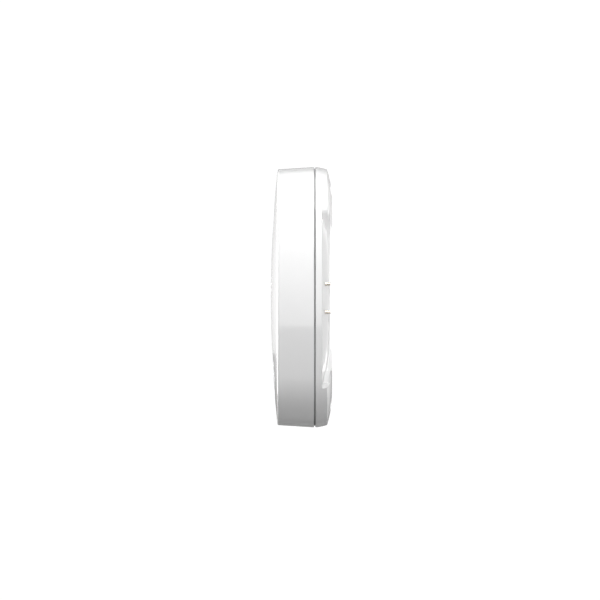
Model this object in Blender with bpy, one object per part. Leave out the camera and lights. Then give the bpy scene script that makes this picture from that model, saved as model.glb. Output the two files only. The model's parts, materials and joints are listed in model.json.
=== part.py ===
"""Video doorbell: a slim pill-shaped unit that clips to a wall bracket.

Frame: +Z up, the face looks along -Y and the wall is at Y = 0.
The origin is the middle of the flat rear face.
"""

import math

import bmesh
import bpy
from mathutils import Vector

MM = 0.001

# Driving dimensions of the casing, in metres.
HEIGHT = 120 * MM
WIDTH = 46 * MM
APEX_Y = -28.1 * MM
EDGE_Y = -25.0 * MM
FRONT_SEAM_Y = -8.2 * MM
REAR_SEAM_Y = -7.55 * MM
REAR_EDGE_Y = -2.1 * MM
WALL = 2.5 * MM
GAP = 0.3 * MM
CLEARANCE = 0.05 * MM

# The outline is a pill: two half circles joined by straight sides.
END_RADIUS = WIDTH / 2
END_CENTRE = HEIGHT / 2 - END_RADIUS
END_STEPS = 16
SIDE_STEPS = 8

# Draft of the side band, the small rounding at its front edge, and the crown of the face.
EDGE_INSET = 1.0 * MM
EDGE_ROUND = 0.6 * MM
EDGE_ROUND_MIDDLE = 0.3
DOME_RISE = EDGE_Y - APEX_Y
DOME_HALF_HEIGHT = HEIGHT / 2 - EDGE_INSET
DOME_HALF_WIDTH = WIDTH / 2 - EDGE_INSET
DOME_RINGS = (1.0, 0.85, 0.68, 0.46, 0.22, 0.05)

# The rear face is flat in the middle and falls away to a small rounded edge.
REAR_EDGE_INSET = 1.3 * MM
REAR_ROUND_WIDTH = 13.8 * MM
REAR_ROUND_STEPS = 5
REAR_SIDE = ((1.0 * MM, -2.2 * MM), (0.35 * MM, -4.75 * MM), (0.0, REAR_SEAM_Y))

# Inside of the rear casing: a shallow pocket behind the seam, and a deeper cavity along the middle.
POCKET_Y = -6.4 * MM
CAVITY_Y = -2.2 * MM
CAVITY_INSET = 10.5 * MM

# Cutters run past the surfaces they open.
CUT_X = 24.6 * MM
CUT_Y = 2.0 * MM
CUT_FRONT_Y = -30 * MM
CUT_INSIDE_Y = -23 * MM
CUT_SEAM_Y = -9 * MM

# Side scoops: a sloped floor, a low wall behind it, flared ends, and a catch near the lower end.
SCOOP_Z = -0.6 * MM
SCOOP_STEPS = 24
SCOOP_OUTSIDE = CUT_X + 1 * MM
FLOOR_X = 14.25 * MM
FLOOR_Y = -1.43 * MM
FLOOR_SLOPE = 0.385
FLOOR_SAG = 0.07
FLOOR_HALF_LENGTH = 39.2 * MM
FLOOR_SPREAD = 7.85 * MM
FLOOR_POWER = 5.2
RIM_X = 13.4 * MM
RIM_HALF_LENGTH = 42.2 * MM
RIM_SPREAD = 8.7 * MM
RIM_POWER = 9.0
STEP_HEIGHT = 0.7 * MM
CATCH_HEIGHT = 2.1 * MM
CATCH_SPAN = (-39.3 * MM, -33.4 * MM)
CATCH_CLEAR_SHARE = 0.02
CATCH_NUDGE = 0.002

# Sprung contact pins, in barrels that stand under the scoop's floor.
PIN_X = 17.8 * MM
PIN_Z = {"upper": 6.0 * MM, "lower": -6.8 * MM}
PIN_RADIUS = 0.82 * MM
PIN_TIP_RADIUS = 0.5 * MM
PIN_TIP_Y = -0.7 * MM
PIN_TIP_LENGTH = 0.35 * MM
PIN_FOOT_Y = -6.0 * MM
PIN_TRAVEL = 1.2 * MM
PIN_HOLE_GAP = 0.2 * MM
BARREL_BORE = 1.1 * MM
BARREL_RADIUS = 1.35 * MM
BARREL_TAIL_RADIUS = 0.67 * MM
BARREL_TAIL = 1.2 * MM
BARREL_TOP_Y = -4.7 * MM
BARREL_FLOOR = 0.4 * MM
BARREL_FOOT_Y = PIN_FOOT_Y - PIN_TRAVEL - 1.7 * MM
SPRING_RADIUS = 0.7 * MM
SPRING_WIRE = 0.16 * MM
SPRING_TURNS = 4
CONTACT_BLOCK_WIDTH = 3.5 * MM
CONTACT_BLOCK_DEPTH = 2.0 * MM
CONTACT_BLOCK_PLACE = (PIN_X - 0.55 * MM, -7.8 * MM)
CONTACT_BLOCK_MARGIN = 3 * MM

# Seam gasket: a body behind the walls, and a lip that fills the bottom of the seam.
GASKET_OUTER = WALL + GAP
GASKET_INNER = GASKET_OUTER + 0.9 * MM
GASKET_FRONT_Y = FRONT_SEAM_Y - 0.9 * MM
GASKET_REAR_Y = POCKET_Y - GAP
LIP_INSET = 0.7 * MM
LIP_GAP = 0.15 * MM

# Face features, on the centre line. Depths here run inwards from the face.
CAMERA_Z = 36 * MM
BUTTON_Z = -36 * MM
WINDOW_RADIUS = 7.0 * MM
WINDOW_SEAT = ((9.6 * MM, 1.4 * MM), (9.6 * MM, 4.0 * MM))
WINDOW_PROFILE = (
    (WINDOW_RADIUS - GAP, 0.35 * MM),
    (WINDOW_RADIUS, 0.6 * MM),
    (WINDOW_RADIUS, 1.9 * MM),
)
WINDOW_BORE = 6.2 * MM
WINDOW_DEPTHS = (-2 * MM, 2.2 * MM, 6 * MM)

# Press button, its light ring and what they act on.
BUTTON_SEAT = ((12.8 * MM, 1.6 * MM), (12.8 * MM, 4.2 * MM))
BUTTON_HOLE = 11.0 * MM
BUTTON_BORE = 9.5 * MM
BUTTON_DEPTHS = (-2 * MM, 2.4 * MM, 6 * MM)
BUTTON_TRAVEL = 0.8 * MM
CAP_PROFILE = (
    (3.0 * MM, 0.02 * MM),
    (6.0 * MM, 0.08 * MM),
    (8.5 * MM, 0.2 * MM),
    (8.9 * MM, 0.5 * MM),
    (8.9 * MM, 4.5 * MM),
    (10.2 * MM, 4.5 * MM),
    (10.2 * MM, 5.2 * MM),
    (7.8 * MM, 5.2 * MM),
    (7.8 * MM, 1.6 * MM),
    (2.0 * MM, 1.6 * MM),
    (2.0 * MM, 2.9 * MM),
)
RING_RADII = (10.7 * MM, 9.2 * MM)
RING_DEPTHS = (0.35 * MM, 2.1 * MM)
STEM_RADIUS = 1.5 * MM
STEM_START = 3.2 * MM
STEM_END = 4.05 * MM
RETURN_PAD_RADII = (7.2 * MM, 5.6 * MM)
RETURN_PAD_DEPTHS = (1.9 * MM, 6.9 * MM)
BUTTON_BOARD = 19 * MM
BUTTON_BOARD_DEPTH = 7.6 * MM
BUTTON_BOARD_THICKNESS = 0.8 * MM
SWITCH_SIZE = 6 * MM
SWITCH_FOOT = 7.0 * MM
RING_LEDS = 4
RING_LED_PLACE = 11.6 * MM
RING_LED_PROFILE = ((0.8 * MM, 5.9 * MM), (0.8 * MM, 6.9 * MM))

# Sound holes: one for the microphone, and rows of 4, 5 and 4 for the speaker.
MICROPHONE_Z = 22.5 * MM
MICROPHONE_HOLE = 0.6 * MM
SPEAKER_Z = 6 * MM
SPEAKER_HOLE = 0.7 * MM
GRILLE_PITCH = 2.6 * MM
GRILLE_PLACES = [
    (GRILLE_PITCH * (i - (count - 1) / 2), SPEAKER_Z + GRILLE_PITCH * row)
    for row, count in ((-1, 4), (0, 5), (1, 4))
    for i in range(count)
]

# Housing screws: they pass through the rear casing into posts behind the face.
SCREW_X = 9 * MM
SCREW_Z = 49.5 * MM
SCREW_PLACES = [(SCREW_X * sx, SCREW_Z * sz) for sx in (-1, 1) for sz in (-1, 1)]
SCREW_SINK = 3.2 * MM
SCREW_HOLE = 1.9 * MM
SCREW_DEPTHS = (CUT_Y, -4.2 * MM, CUT_SEAM_Y)
SCREW_PROFILE = (
    (1.1 * MM, -17 * MM),
    (1.1 * MM, -4.0 * MM),
    (2.8 * MM, -4.0 * MM),
    (2.8 * MM, -2.3 * MM),
    (1.3 * MM, -2.3 * MM),
    (1.3 * MM, -3.1 * MM),
)
POST_RADIUS = 3.0 * MM
POST_SPAN = (-24.2 * MM, -8.9 * MM)
POST_BORE = 1.4 * MM
POST_BORE_SPAN = (-19 * MM, -8 * MM)

# Rear pads.
PAD_Z = {"upper": 40.4 * MM, "lower": -40.4 * MM}
PAD_WIDTH = 13 * MM
PAD_HEIGHT = 9.6 * MM
PAD_DEPTH = 1.1 * MM

# Reset button.
RESET_Z = -24 * MM
RESET_HOLE = 1.8 * MM
RESET_TRAVEL = 0.4 * MM
RESET_END = -4.2 * MM
RESET_PROFILE = (
    (1.5 * MM, -0.6 * MM),
    (1.5 * MM, -2.6 * MM),
    (2.4 * MM, -2.6 * MM),
    (2.4 * MM, -3.2 * MM),
    (1.0 * MM, -3.2 * MM),
    (1.0 * MM, RESET_END),
)
RESET_SWITCH = 4.5 * MM

# Boards and what they carry.
BOARD = 1.0 * MM
MAIN_BOARD_Y = -12.2 * MM
MAIN_BOARD_INSET = 5 * MM
MAIN_BOARD_CUT = (-14 * MM, -10 * MM)
BOARD_SCREW_X = 13.5 * MM
BOARD_SCREW_Z = 30 * MM
BOARD_SCREW_HOLE = 1.3 * MM
BOARD_SCREW_PROFILE = (
    (1.0 * MM, -14.6 * MM),
    (1.0 * MM, -10.9 * MM),
    (2.0 * MM, -10.9 * MM),
    (2.0 * MM, -9.9 * MM),
)
POWER_BOARD_Y = -9.6 * MM
POWER_REAR_Y = POWER_BOARD_Y + BOARD + GAP
COIL_RADII = (4.2 * MM, 1.6 * MM)
COIL_END_Y = -5.0 * MM
COIL_PLACE = (-5.5 * MM, -34 * MM)
CAPACITOR_RADIUS = 3.6 * MM
CAPACITOR_END_Y = -2.9 * MM
CAPACITOR_Z = -10 * MM
CAPACITOR_X = {"left": -5.6 * MM, "right": 5.6 * MM}

# Camera module.
CAMERA_CENTRE = (0.0, CAMERA_Z)
LENS_BARREL_RADII = (3.4 * MM, 2.5 * MM)
LENS_BARREL_SPAN = (-23.6 * MM, -16.6 * MM)
LENS_GLASS_PROFILE = ((1.2 * MM, -23.3 * MM), (2.2 * MM, -22.8 * MM), (2.2 * MM, -21.6 * MM))
LENS_SHROUD_RADII = (4.5 * MM, 3.7 * MM)
LENS_SHROUD_SPAN = (-23.9 * MM, -22.0 * MM)
HOLDER_BORE = 3.6 * MM
HOLDER_CUT = (-22 * MM, -12 * MM)
IR_BOARD_RADII = (7.4 * MM, 4.8 * MM)
IR_BOARD_SPAN = (-21.8 * MM, -21.0 * MM)
IR_LED_X = {"left": -5.5 * MM, "right": 5.5 * MM}
IR_LED_PROFILE = ((0.65 * MM, -22.1 * MM), (0.5 * MM, -23.4 * MM))
BOOT_RADII = (2.0 * MM, 0.8 * MM)
BOOT_SPAN = (-24.2 * MM, -22.5 * MM)

# Speaker.
SPEAKER_CENTRE = (0.0, SPEAKER_Z)
SPEAKER_MESH_PROFILE = ((7.6 * MM, -24.6 * MM), (7.6 * MM, -24.3 * MM))
SPEAKER_GASKET_RADII = (11.4 * MM, 9.6 * MM)
SPEAKER_GASKET_SPAN = (-24.0 * MM, -22.8 * MM)
SPEAKER_FRAME_PROFILE = (
    (11.2 * MM, -22.4 * MM),
    (11.2 * MM, -19.6 * MM),
    (9.0 * MM, -18.6 * MM),
    (9.0 * MM, -18.0 * MM),
    (7.2 * MM, -18.0 * MM),
    (7.2 * MM, -19.0 * MM),
    (9.6 * MM, -20.2 * MM),
    (9.6 * MM, -22.4 * MM),
)
SPEAKER_CONE_PROFILE = (
    (0.6 * MM, -21.9 * MM),
    (3.0 * MM, -21.4 * MM),
    (4.0 * MM, -20.8 * MM),
    (9.2 * MM, -22.2 * MM),
    (9.2 * MM, -21.7 * MM),
    (4.0 * MM, -20.3 * MM),
    (3.0 * MM, -20.9 * MM),
    (0.6 * MM, -21.4 * MM),
)
SPEAKER_MAGNET_PROFILE = ((6.6 * MM, -18.8 * MM), (6.6 * MM, -15.6 * MM))

# Plain blocks inside: finish, size and centre.
CHIP_Z = 16 * MM
SHIELD_CAN_SIZE = (18 * MM, 1.7 * MM, 17 * MM)
SHIELD_CAN_WALL = 0.4 * MM
SHIELD_CAN_CENTRE = (0, MAIN_BOARD_Y - GAP - 1.35 * MM, CHIP_Z)
BLOCKS = {
    "lens_holder": ("black_plastic", (11 * MM, 4.2 * MM, 11 * MM), (0, -17.0 * MM, CAMERA_Z)),
    "image_sensor": ("chip", (4.4 * MM, 0.7 * MM, 3.4 * MM), (0, -14.95 * MM, CAMERA_Z)),
    "camera_board": ("board", (15 * MM, 0.8 * MM, 15 * MM), (0, -13.9 * MM, CAMERA_Z)),
    "microphone": ("steel", (3.6 * MM, 1.1 * MM, 2.8 * MM), (0, -21.6 * MM, MICROPHONE_Z)),
    "processor_chip": ("chip", (12 * MM, 1.2 * MM, 12 * MM), (0, -13.1 * MM, CHIP_Z)),
    "shield_can": ("steel", SHIELD_CAN_SIZE, SHIELD_CAN_CENTRE),
    "board_connector": ("grey_plastic", (9 * MM, 1.6 * MM, 3 * MM), (0, -13.3 * MM, -14 * MM)),
    "flat_cable": ("copper", (7 * MM, 0.2 * MM, 26 * MM), (0, -10.7 * MM, 30 * MM)),
    "wifi_antenna": ("board", (10 * MM, 0.6 * MM, 6 * MM), (0, -20 * MM, 51 * MM)),
    "power_board": ("board", (21 * MM, BOARD, 44 * MM), (0, POWER_BOARD_Y + BOARD / 2, -20 * MM)),
}

SHARP_ANGLE = math.radians(35)

# Finishes: colour, roughness and metallic value.
FINISHES = {
    "shell": ((0.93, 0.93, 0.93), 0.25, 0.0),
    "rubber": ((0.06, 0.06, 0.065), 0.7, 0.0),
    "grey_plastic": ((0.62, 0.62, 0.63), 0.5, 0.0),
    "black_plastic": ((0.03, 0.03, 0.032), 0.45, 0.0),
    "dark_glass": ((0.01, 0.01, 0.012), 0.05, 0.0),
    "diffuser": ((0.85, 0.87, 0.88), 0.4, 0.0),
    "gold": ((0.83, 0.62, 0.30), 0.25, 1.0),
    "steel": ((0.72, 0.72, 0.73), 0.35, 1.0),
    "board": ((0.03, 0.16, 0.09), 0.5, 0.0),
    "chip": ((0.04, 0.04, 0.045), 0.5, 0.0),
    "led": ((0.9, 0.88, 0.7), 0.3, 0.0),
    "silicone": ((0.8, 0.8, 0.79), 0.6, 0.0),
    "foam": ((0.12, 0.12, 0.12), 0.9, 0.0),
    "copper": ((0.75, 0.42, 0.25), 0.3, 1.0),
}


def clear_scene():
    for obj in list(bpy.data.objects):
        bpy.data.objects.remove(obj, do_unlink=True)


def material(name):
    """One Principled material for each finish, made when it is first asked for."""
    found = bpy.data.materials.get(name)
    if found:
        return found
    colour, roughness, metallic = FINISHES[name]
    made = bpy.data.materials.new(name)
    made.use_nodes = True
    shader = made.node_tree.nodes["Principled BSDF"]
    shader.inputs["Base Color"].default_value = (*colour, 1.0)
    shader.inputs["Roughness"].default_value = roughness
    shader.inputs["Metallic"].default_value = metallic
    return made


def add_fan(bm, row):
    """Closes a ring with triangles around its middle point."""
    middle = bm.verts.new(sum((v.co for v in row), Vector()) / len(row))
    for i, vert in enumerate(row):
        bm.faces.new((vert, row[(i + 1) % len(row)], middle))


def add_loft(bm, rings, ends):
    """Bridges rings of equal length.

    ends is caps for flat ends, fans for crowned ones, or loop for a closed section.
    """
    rows = [[bm.verts.new(point) for point in ring] for ring in rings]
    pairs = list(zip(rows, rows[1:]))
    if ends == "loop":
        pairs.append((rows[-1], rows[0]))
    count = len(rows[0])
    for lower, upper in pairs:
        for i in range(count):
            j = (i + 1) % count
            bm.faces.new((lower[i], lower[j], upper[j], upper[i]))
    for row in (rows[0], rows[-1]):
        if ends == "caps":
            bm.faces.new(row)
        elif ends == "fans":
            add_fan(bm, row)


def loft(name, rings, finish=None, ends="caps", smooth=True):
    """An object lofted through rings, with outward faces. A cutter has no finish."""
    bm = bmesh.new()
    add_loft(bm, rings, ends)
    bmesh.ops.recalc_face_normals(bm, faces=bm.faces)
    if bm.calc_volume(signed=True) < 0:
        bmesh.ops.reverse_faces(bm, faces=bm.faces)
    mesh = bpy.data.meshes.new(name)
    bm.to_mesh(mesh)
    bm.free()
    obj = bpy.data.objects.new(name, mesh)
    bpy.context.scene.collection.objects.link(obj)
    if finish:
        mesh.materials.append(material(finish))
    if smooth:
        mesh.shade_smooth()
        mesh.set_sharp_from_angle(angle=SHARP_ANGLE)
    return obj


def circle(radius, y, steps, centre):
    turn = 2 * math.pi / steps
    x, z = centre
    return [
        Vector((x + radius * math.cos(turn * i), y, z + radius * math.sin(turn * i)))
        for i in range(steps)
    ]


def turned(name, profile, finish=None, centre=(0.0, 0.0), steps=20, ends="caps"):
    """A round piece about a line along Y, from (radius, y) pairs."""
    rings = [circle(radius, y, steps, centre) for radius, y in profile]
    return loft(name, rings, finish, ends)


def tube(name, radii, span, finish, centre=(0.0, 0.0), steps=20):
    """A plain tube from its outer and inner radius and its two ends."""
    outer, inner = radii
    front, rear = span
    profile = ((outer, front), (outer, rear), (inner, rear), (inner, front))
    return turned(name, profile, finish, centre, steps, ends="loop")


def bore(name, radius, span, place, steps=16):
    return turned(name, [(radius, y) for y in span], None, place, steps)


def stepped_bore(name, wide, narrow, depths, place=(0.0, 0.0), steps=16):
    """A wide hole from the first depth to the second, then a narrow one to the third."""
    profile = ((wide, depths[0]), (wide, depths[1]), (narrow, depths[1]), (narrow, depths[2]))
    return turned(name, profile, None, place, steps)


def block(name, size, place, finish=None):
    x, y, z = (value / 2 for value in size)
    corners = ((-x, -z), (x, -z), (x, z), (-x, z))
    rings = [[Vector(place) + Vector((cx, cy, cz)) for cx, cz in corners] for cy in (-y, y)]
    return loft(name, rings, finish, smooth=False)


def coil(name, place, start, end, steps=10, sides=5):
    """A compression spring along Y."""
    x, z = place
    count = SPRING_TURNS * steps
    corners = [2 * math.pi * k / sides for k in range(sides)]
    rings = []
    for i in range(count + 1):
        angle = 2 * math.pi * i / steps
        out = Vector((math.cos(angle), 0, math.sin(angle)))
        centre = Vector((x, start + (end - start) * i / count, z)) + out * SPRING_RADIUS
        rings.append(
            [centre + SPRING_WIRE * (out * math.cos(a) + Vector((0, math.sin(a), 0))) for a in corners]
        )
    loft(name, rings, "steel")


def pill(inset, y):
    """The outline moved in by inset, as a ring of points at depth y."""
    radius = END_RADIUS - inset
    points = []
    for side in (1, -1):
        for i in range(END_STEPS + 1):
            angle = math.pi * i / END_STEPS
            points.append(
                (side * radius * math.cos(angle), side * (END_CENTRE + radius * math.sin(angle)))
            )
        for i in range(1, SIDE_STEPS):
            points.append((-side * radius, side * END_CENTRE * (1 - 2 * i / SIDE_STEPS)))
    return [Vector((x, y, z)) for x, z in points]


def half_width(z):
    """Half the width of the domed face at height z."""
    past = max(0.0, abs(z) - END_CENTRE)
    return math.sqrt(max(DOME_HALF_WIDTH**2 - past**2, 1e-12))


def dome_y(x, z):
    """The crown of the face: highest on the centre line, falling to nothing at its edge."""
    along = 1 - min(1.0, abs(z) / DOME_HALF_HEIGHT) ** 2
    across = 1 - min(1.0, abs(x) / half_width(z)) ** 2
    return EDGE_Y - DOME_RISE * along * across


def domed(ring, share, thickness):
    """A ring drawn in to a share of its size, on the crown or a thickness behind it."""
    return [
        Vector((p.x * share, dome_y(p.x * share, p.z * share) + thickness, p.z * share)) for p in ring
    ]


def rear_y(inset):
    """Depth of the rear surface at a distance in from the outline."""
    share = min(1.0, max(0.0, (inset - REAR_EDGE_INSET) / REAR_ROUND_WIDTH))
    return REAR_EDGE_Y * (1 - share) ** 2


def use_cutters(target, cutters, operation="DIFFERENCE"):
    for cutter in cutters:
        modifier = target.modifiers.new(cutter.name, "BOOLEAN")
        modifier.operation = operation
        modifier.solver = "EXACT"
        modifier.object = cutter
        cutter.hide_render = True
        cutter.display_type = "WIRE"


def place_on_face(obj, z):
    """Puts a piece on the crown of the face at height z, square to the surface there."""
    obj.location = (0, dome_y(0, z), z)
    obj.rotation_euler = (-math.atan(2 * DOME_RISE * z / DOME_HALF_HEIGHT**2), 0, 0)
    return obj


def front_shell():
    edge = pill(EDGE_INSET + EDGE_ROUND, EDGE_Y)
    middle = EDGE_ROUND * EDGE_ROUND_MIDDLE
    inner_edge = pill(EDGE_INSET + WALL, EDGE_Y + WALL)
    rings = [
        *[domed(edge, share, 0) for share in reversed(DOME_RINGS)],
        pill(EDGE_INSET + middle, EDGE_Y + middle),
        pill(EDGE_INSET, EDGE_Y + EDGE_ROUND),
        pill(0, FRONT_SEAM_Y),
        pill(WALL, FRONT_SEAM_Y),
        *[domed(inner_edge, share, WALL) for share in DOME_RINGS],
    ]
    shell = loft("front_shell", rings, "shell", ends="fans")

    # Bosses inside the face: seats for the window and the button, and posts for the housing screws.
    bosses = [
        place_on_face(turned("window_seat", WINDOW_SEAT, steps=32), CAMERA_Z),
        place_on_face(turned("button_seat", BUTTON_SEAT, steps=36), BUTTON_Z),
    ]
    for i, place in enumerate(SCREW_PLACES):
        bosses.append(bore(f"post_{i}", POST_RADIUS, POST_SPAN, place))
    use_cutters(shell, bosses, "UNION")

    window = stepped_bore("window_cut", WINDOW_RADIUS + GAP, WINDOW_BORE, WINDOW_DEPTHS, steps=32)
    button = stepped_bore("button_cut", BUTTON_HOLE, BUTTON_BORE, BUTTON_DEPTHS, steps=36)
    cutters = [place_on_face(window, CAMERA_Z), place_on_face(button, BUTTON_Z)]
    through = (CUT_FRONT_Y, CUT_INSIDE_Y)
    for i, place in enumerate(GRILLE_PLACES):
        cutters.append(bore(f"grille_cut_{i}", SPEAKER_HOLE, through, place, 8))
    cutters.append(bore("microphone_cut", MICROPHONE_HOLE, through, (0, MICROPHONE_Z), 8))
    for i, place in enumerate(SCREW_PLACES):
        cutters.append(bore(f"post_cut_{i}", POST_BORE, POST_BORE_SPAN, place, 12))
    use_cutters(shell, cutters)


def scoop_floor_y(x, z):
    sag = FLOOR_SAG * (1 - (z / RIM_HALF_LENGTH) ** 2)
    return FLOOR_Y - (x - FLOOR_X) * (FLOOR_SLOPE + sag)


def scoop_shares(base_end):
    """Places of the sections along a scoop, from -1 to 1, closer at its ends and at the catch."""
    shares = [math.sin(math.pi / 2 * (2 * i / SCOOP_STEPS - 1)) for i in range(SCOOP_STEPS + 1)]
    edges = [z / base_end for z in CATCH_SPAN]
    shares = [s for s in shares if min(abs(s - edge) for edge in edges) > CATCH_CLEAR_SHARE]
    shares += [edge + nudge for edge in edges for nudge in (-CATCH_NUDGE, CATCH_NUDGE)]
    return sorted(shares)


def scoop_cutter(side):
    """The space of one side scoop, as sections along it.

    The low wall stands higher along the catch near its lower end.
    """
    base_end = FLOOR_HALF_LENGTH * ((CUT_X - FLOOR_X) / FLOOR_SPREAD) ** (1 / FLOOR_POWER)
    rim_end = RIM_HALF_LENGTH * ((CUT_X - RIM_X) / RIM_SPREAD) ** (1 / RIM_POWER)
    sections = []
    for share in scoop_shares(base_end):
        base_z = share * base_end
        rim_z = share * rim_end
        base_x = FLOOR_X + FLOOR_SPREAD * (abs(base_z) / FLOOR_HALF_LENGTH) ** FLOOR_POWER
        rim_x = RIM_X + RIM_SPREAD * (abs(rim_z) / RIM_HALF_LENGTH) ** RIM_POWER
        caught = CATCH_SPAN[0] < base_z < CATCH_SPAN[1]
        step = CATCH_HEIGHT if caught else STEP_HEIGHT
        floor = scoop_floor_y(base_x, base_z)
        section = (
            (SCOOP_OUTSIDE, CUT_Y, rim_z),
            (SCOOP_OUTSIDE, scoop_floor_y(SCOOP_OUTSIDE, base_z), base_z),
            (base_x, floor, base_z),
            (base_x, floor + step, base_z),
            (rim_x, rear_y(END_RADIUS - rim_x) + CLEARANCE, rim_z),
            (rim_x, CUT_Y, rim_z),
        )
        sections.append([Vector((side * x, y, z + SCOOP_Z)) for x, y, z in section])
    return loft(f"scoop_cut_{side}", sections)


def rear_shell():
    insets = [
        REAR_EDGE_INSET + REAR_ROUND_WIDTH * i / REAR_ROUND_STEPS
        for i in range(REAR_ROUND_STEPS, -1, -1)
    ]
    rings = [pill(inset, rear_y(inset)) for inset in insets]
    rings += [pill(inset, y) for inset, y in REAR_SIDE]
    rings += [
        pill(WALL, REAR_SEAM_Y),
        pill(WALL, POCKET_Y),
        pill(CAVITY_INSET, POCKET_Y),
        pill(CAVITY_INSET, CAVITY_Y),
    ]
    shell = loft("rear_shell", rings, "shell")
    cutters = [scoop_cutter(1), scoop_cutter(-1)]
    depths = (CUT_SEAM_Y, BARREL_TOP_Y + PIN_HOLE_GAP, CUT_Y)
    for level, z in PIN_Z.items():
        wide, narrow = BARREL_RADIUS + PIN_HOLE_GAP, PIN_RADIUS + PIN_HOLE_GAP
        cutters.append(stepped_bore(f"pin_cut_{level}", wide, narrow, depths, (PIN_X, z)))
    for i, place in enumerate(SCREW_PLACES):
        cutters.append(stepped_bore(f"screw_cut_{i}", SCREW_SINK, SCREW_HOLE, SCREW_DEPTHS, place))
    for level, z in PAD_Z.items():
        size = (PAD_WIDTH + 2 * GAP, 2 * PAD_DEPTH, PAD_HEIGHT + 2 * GAP)
        cutters.append(block(f"pad_cut_{level}", size, (0, 0, z)))
    cutters.append(bore("reset_cut", RESET_HOLE, (CUT_SEAM_Y, CUT_Y), (0, RESET_Z)))
    use_cutters(shell, cutters)


def seam_gasket():
    lip_front = FRONT_SEAM_Y + LIP_GAP
    lip_rear = REAR_SEAM_Y - LIP_GAP
    section = (
        (GASKET_INNER, GASKET_FRONT_Y),
        (GASKET_OUTER, GASKET_FRONT_Y),
        (GASKET_OUTER, lip_front),
        (LIP_INSET, lip_front),
        (LIP_INSET, lip_rear),
        (GASKET_OUTER, lip_rear),
        (GASKET_OUTER, GASKET_REAR_Y),
        (GASKET_INNER, GASKET_REAR_Y),
    )
    loft("seam_gasket", [pill(inset, y) for inset, y in section], "rubber", ends="loop")


def pads():
    depth = PAD_DEPTH - GAP - CLEARANCE
    for level, z in PAD_Z.items():
        size = (PAD_WIDTH, depth, PAD_HEIGHT)
        block(f"rear_pad_{level}", size, (0, -CLEARANCE - depth / 2, z), "silicone")


def contacts():
    pin = ((PIN_TIP_RADIUS, PIN_TIP_Y), (PIN_RADIUS, PIN_TIP_Y - PIN_TIP_LENGTH), (PIN_RADIUS, PIN_FOOT_Y))
    barrel = (
        (BARREL_TAIL_RADIUS, BARREL_FOOT_Y - BARREL_TAIL),
        (BARREL_TAIL_RADIUS, BARREL_FOOT_Y),
        (BARREL_RADIUS, BARREL_FOOT_Y),
        (BARREL_RADIUS, BARREL_TOP_Y),
        (BARREL_BORE, BARREL_TOP_Y),
        (BARREL_BORE, BARREL_FOOT_Y + BARREL_FLOOR),
    )
    spring_foot = BARREL_FOOT_Y + BARREL_FLOOR + GAP
    for level, z in PIN_Z.items():
        turned(f"contact_pin_{level}", pin, "gold", (PIN_X, z), 16)
        coil(f"contact_spring_{level}", (PIN_X, z), PIN_FOOT_Y - GAP, spring_foot)
        turned(f"contact_barrel_{level}", barrel, "gold", (PIN_X, z), 16)
    low, high = sorted(PIN_Z.values())
    size = (CONTACT_BLOCK_WIDTH, CONTACT_BLOCK_DEPTH, high - low + 2 * CONTACT_BLOCK_MARGIN)
    body = block("contact_block", size, (*CONTACT_BLOCK_PLACE, (low + high) / 2), "black_plastic")
    radius = BARREL_RADIUS + 2 * CLEARANCE
    span = (GASKET_FRONT_Y, POCKET_Y)
    holes = [bore(f"block_cut_{level}", radius, span, (PIN_X, z)) for level, z in PIN_Z.items()]
    use_cutters(body, holes)


def camera():
    place_on_face(turned("camera_window", WINDOW_PROFILE, "dark_glass", steps=32), CAMERA_Z)
    tube("lens_barrel", LENS_BARREL_RADII, LENS_BARREL_SPAN, "black_plastic", CAMERA_CENTRE)
    turned("lens_glass", LENS_GLASS_PROFILE, "dark_glass", CAMERA_CENTRE)
    tube("lens_shroud", LENS_SHROUD_RADII, LENS_SHROUD_SPAN, "rubber", CAMERA_CENTRE)
    tube("ir_board", IR_BOARD_RADII, IR_BOARD_SPAN, "board", CAMERA_CENTRE, 24)
    for side, x in IR_LED_X.items():
        turned(f"ir_led_{side}", IR_LED_PROFILE, "led", (x, CAMERA_Z), 10)
    tube("microphone_boot", BOOT_RADII, BOOT_SPAN, "rubber", (0, MICROPHONE_Z), 16)


def speaker():
    turned("speaker_mesh", SPEAKER_MESH_PROFILE, "foam", SPEAKER_CENTRE, 28)
    tube("speaker_gasket", SPEAKER_GASKET_RADII, SPEAKER_GASKET_SPAN, "foam", SPEAKER_CENTRE, 32)
    turned("speaker_frame", SPEAKER_FRAME_PROFILE, "black_plastic", SPEAKER_CENTRE, 28, ends="loop")
    turned("speaker_cone", SPEAKER_CONE_PROFILE, "black_plastic", SPEAKER_CENTRE, 28)
    turned("speaker_magnet", SPEAKER_MAGNET_PROFILE, "steel", SPEAKER_CENTRE, 24)


def button():
    switch_top = STEM_END + BUTTON_TRAVEL + CLEARANCE
    height = SWITCH_FOOT - switch_top
    board_size = (BUTTON_BOARD, BUTTON_BOARD_THICKNESS, BUTTON_BOARD)
    switch_size = (SWITCH_SIZE, height, SWITCH_SIZE)
    stem = ((STEM_RADIUS, STEM_START), (STEM_RADIUS, STEM_END))
    pieces = [
        turned("button_cap", CAP_PROFILE, "shell", steps=32),
        tube("light_ring", RING_RADII, RING_DEPTHS, "diffuser", steps=36),
        turned("button_stem", stem, "grey_plastic", steps=16),
        tube("button_return_pad", RETURN_PAD_RADII, RETURN_PAD_DEPTHS, "silicone", steps=24),
        block("button_board", board_size, (0, BUTTON_BOARD_DEPTH, 0), "board"),
        block("button_switch", switch_size, (0, switch_top + height / 2, 0), "grey_plastic"),
    ]
    for i in range(RING_LEDS):
        angle = 2 * math.pi * (i + 0.5) / RING_LEDS
        corner = (RING_LED_PLACE * math.cos(angle), RING_LED_PLACE * math.sin(angle))
        pieces.append(turned(f"ring_led_{i + 1}", RING_LED_PROFILE, "led", corner, 8))
    for piece in pieces:
        place_on_face(piece, BUTTON_Z)


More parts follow.
